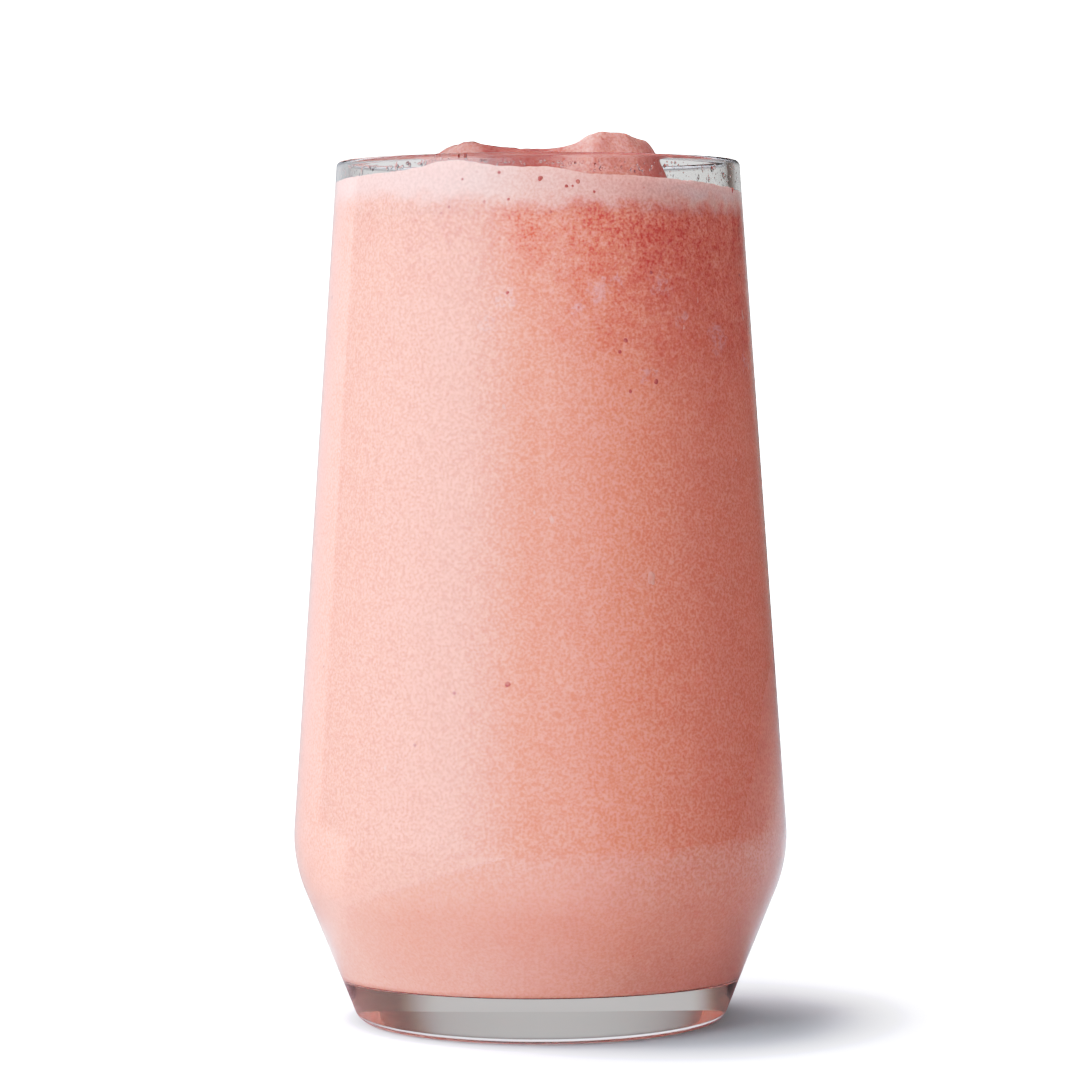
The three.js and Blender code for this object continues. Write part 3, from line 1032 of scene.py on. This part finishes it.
def shine_material():
    """Clear right of the line, and a glow left of it that weakens towards the back."""
    material, tree, output = new_material("shine")
    place = add(tree, "TexCoord").outputs["Object"]
    beside = add(tree, "VectorMath", {0: place, 1: SHINE_LINE}, operation="DOT_PRODUCT")
    strength = band(tree, bearing_of(tree, place), *SHINE_FADES, SHINE_BEHIND, SHINE_STRENGTH)
    lit = add(tree, "MixShader", {
        0: band(tree, beside.outputs["Value"], *SHINE_ENDS),
        1: add(tree, "BsdfTransparent").outputs[0],
        2: add(tree, "Emission", {"Color": COOL_WHITE, "Strength": strength}).outputs[0],
    })
    tree.links.new(lit.outputs[0], output.inputs["Surface"])
    material.cycles.emission_sampling = "NONE"
    return material


shine = open_sheet("shine", level_grid(
    np.linspace(-SHINE_REACH, SHINE_ENDS[0] / 2, SHINE_POINTS[0]),
    np.linspace(-SHINE_REACH, SHINE_REACH, SHINE_POINTS[1]), SHINE_LEVEL,
))
shine.data.materials.append(shine_material())
shine.visible_camera = shine.visible_transmission = False
shine.visible_diffuse = shine.visible_shadow = False

# Surround
# The studio all round: white where it is seen, and dim grey for the light that it gives, lighter
# near the horizon in front and behind, darker and warmer at the sides.
SEEN_STRENGTH = 4
SURROUND_HIGH = 0.12
SURROUND_FALLS = (0.55, 0.2, 0.33)
SURROUND_OFFSET = 0.12
SURROUND_MIDDLE = (0.7, 0.46)
SURROUND_DARK = 0.1
SURROUND_WARM = (1, 0.8, 0.72, 1)
SURROUND_MIRRORED = 0.5
BEHIND_WAY = (0.9, 0.98, 0.3)
BEHIND_RISES = (-0.01, 0.03)
BEHIND_FALLS = (0.16, 0.1)

world = bpy.data.worlds.new("surround")
bpy.context.scene.world = world
world.use_nodes = True
tree = world.node_tree
tree.nodes.clear()
rays = add(tree, "LightPath").outputs
way = add(tree, "SeparateXYZ", {0: add(tree, "TexCoord").outputs["Generated"]}).outputs
sideways = both(tree, both(tree, way["X"], SURROUND_OFFSET, "ADD"), 0, "ABSOLUTE")
middle = band(tree, sideways, *SURROUND_MIDDLE)
level = both(tree, both(tree, middle, 1 - SURROUND_DARK), SURROUND_DARK, "ADD")
around = both(tree, band(tree, way["Z"], *SURROUND_FALLS), level)
around = both(tree, around, SURROUND_HIGH, "ADD")
behind = both(tree, band(tree, way["Y"], *BEHIND_WAY), band(tree, way["Z"], *BEHIND_RISES))
behind = both(tree, behind, band(tree, way["Z"], *BEHIND_FALLS))
around = both(tree, around, behind, "ADD")
mirrored = both(tree, rays["Is Glossy Ray"], rays["Is Reflection Ray"])
dimmed = both(tree, both(tree, mirrored, SURROUND_MIRRORED - 1), 1, "ADD")
lit = add(tree, "Background", {
    "Color": blend(tree, middle, SURROUND_WARM, PLAIN_WHITE), "Strength": both(tree, around, dimmed),
})
seen = add(tree, "Background", {"Color": PLAIN_WHITE, "Strength": SEEN_STRENGTH})
sky = add(tree, "MixShader", {0: rays["Is Camera Ray"], 1: lit.outputs[0], 2: seen.outputs[0]})
add(tree, "OutputWorld", {"Surface": sky.outputs[0]})

# Light paths and tones
# Light turns a few times only, which is enough for a drink behind one wall of glass. The tones are
# a print's: lifted middles, and highlights that reach white gently. A tone is (light, shown as).
LIGHT_TURNS = 8
SOFT_TURNS = 2
MIRROR_TURNS = 3
TONE_WHITE = 1.6
TONES = [
    (0.12, 0.12), (0.25, 0.295), (0.45, 0.505), (0.7, 0.694), (1, 0.818), (1.28, 0.898), (1.42, 0.957),
]

paths = bpy.context.scene.cycles
paths.max_bounces = paths.transmission_bounces = LIGHT_TURNS
paths.diffuse_bounces = SOFT_TURNS
paths.glossy_bounces = MIRROR_TURNS

view = bpy.context.scene.view_settings
view.view_transform = "Standard"
view.use_curve_mapping = True
view.curve_mapping.use_clip = False
view.curve_mapping.white_level = (TONE_WHITE, TONE_WHITE, TONE_WHITE)
for light, shown_as in TONES:
    view.curve_mapping.curves[3].points.new(light / TONE_WHITE, shown_as)
view.curve_mapping.update()
